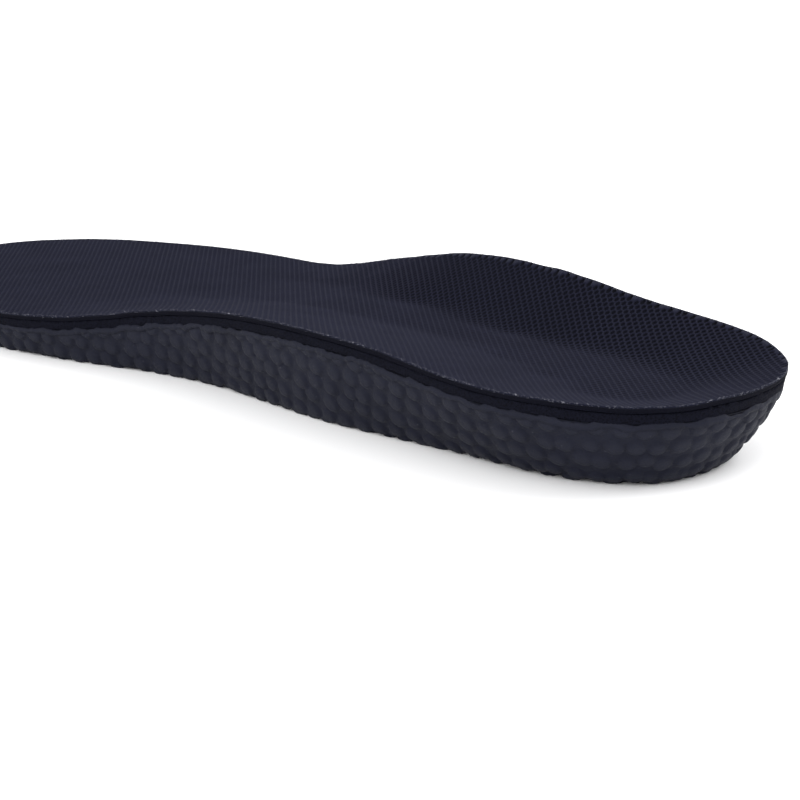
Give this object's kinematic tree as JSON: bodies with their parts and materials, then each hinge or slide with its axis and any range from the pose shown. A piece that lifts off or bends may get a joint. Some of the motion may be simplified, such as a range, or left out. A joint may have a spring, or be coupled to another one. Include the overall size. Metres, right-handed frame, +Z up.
{
  "type": "cushioned insole",
  "caption": "Cushioned insole for a right foot: mesh cloth cover over a foam sheet on a moulded bead-foam base with a raised heel cup and arch flank",
  "frame": {"origin": "on the ground plane, under the centre of the insole's outline box in X and Y", "axes": "+X towards the toe along the length, +Y towards the inner (arch) side of a right foot, +Z up, away from the ground"},
  "size_m": [0.2682, 0.0898, 0.0244],
  "materials": {
    "bead_foam": "matte",
    "adhesive_film": "satin",
    "soft_foam": "matte",
    "adhesive_web": "matte",
    "mesh_cloth": "matte"
  },
  "bodies": {
    "root": {"bead_foam_base": "bead_foam", "base_adhesive_film": "adhesive_film", "foam_layer": "soft_foam", "cloth_adhesive_web": "adhesive_web", "top_cloth": "mesh_cloth"}
  },
  "joints": []
}
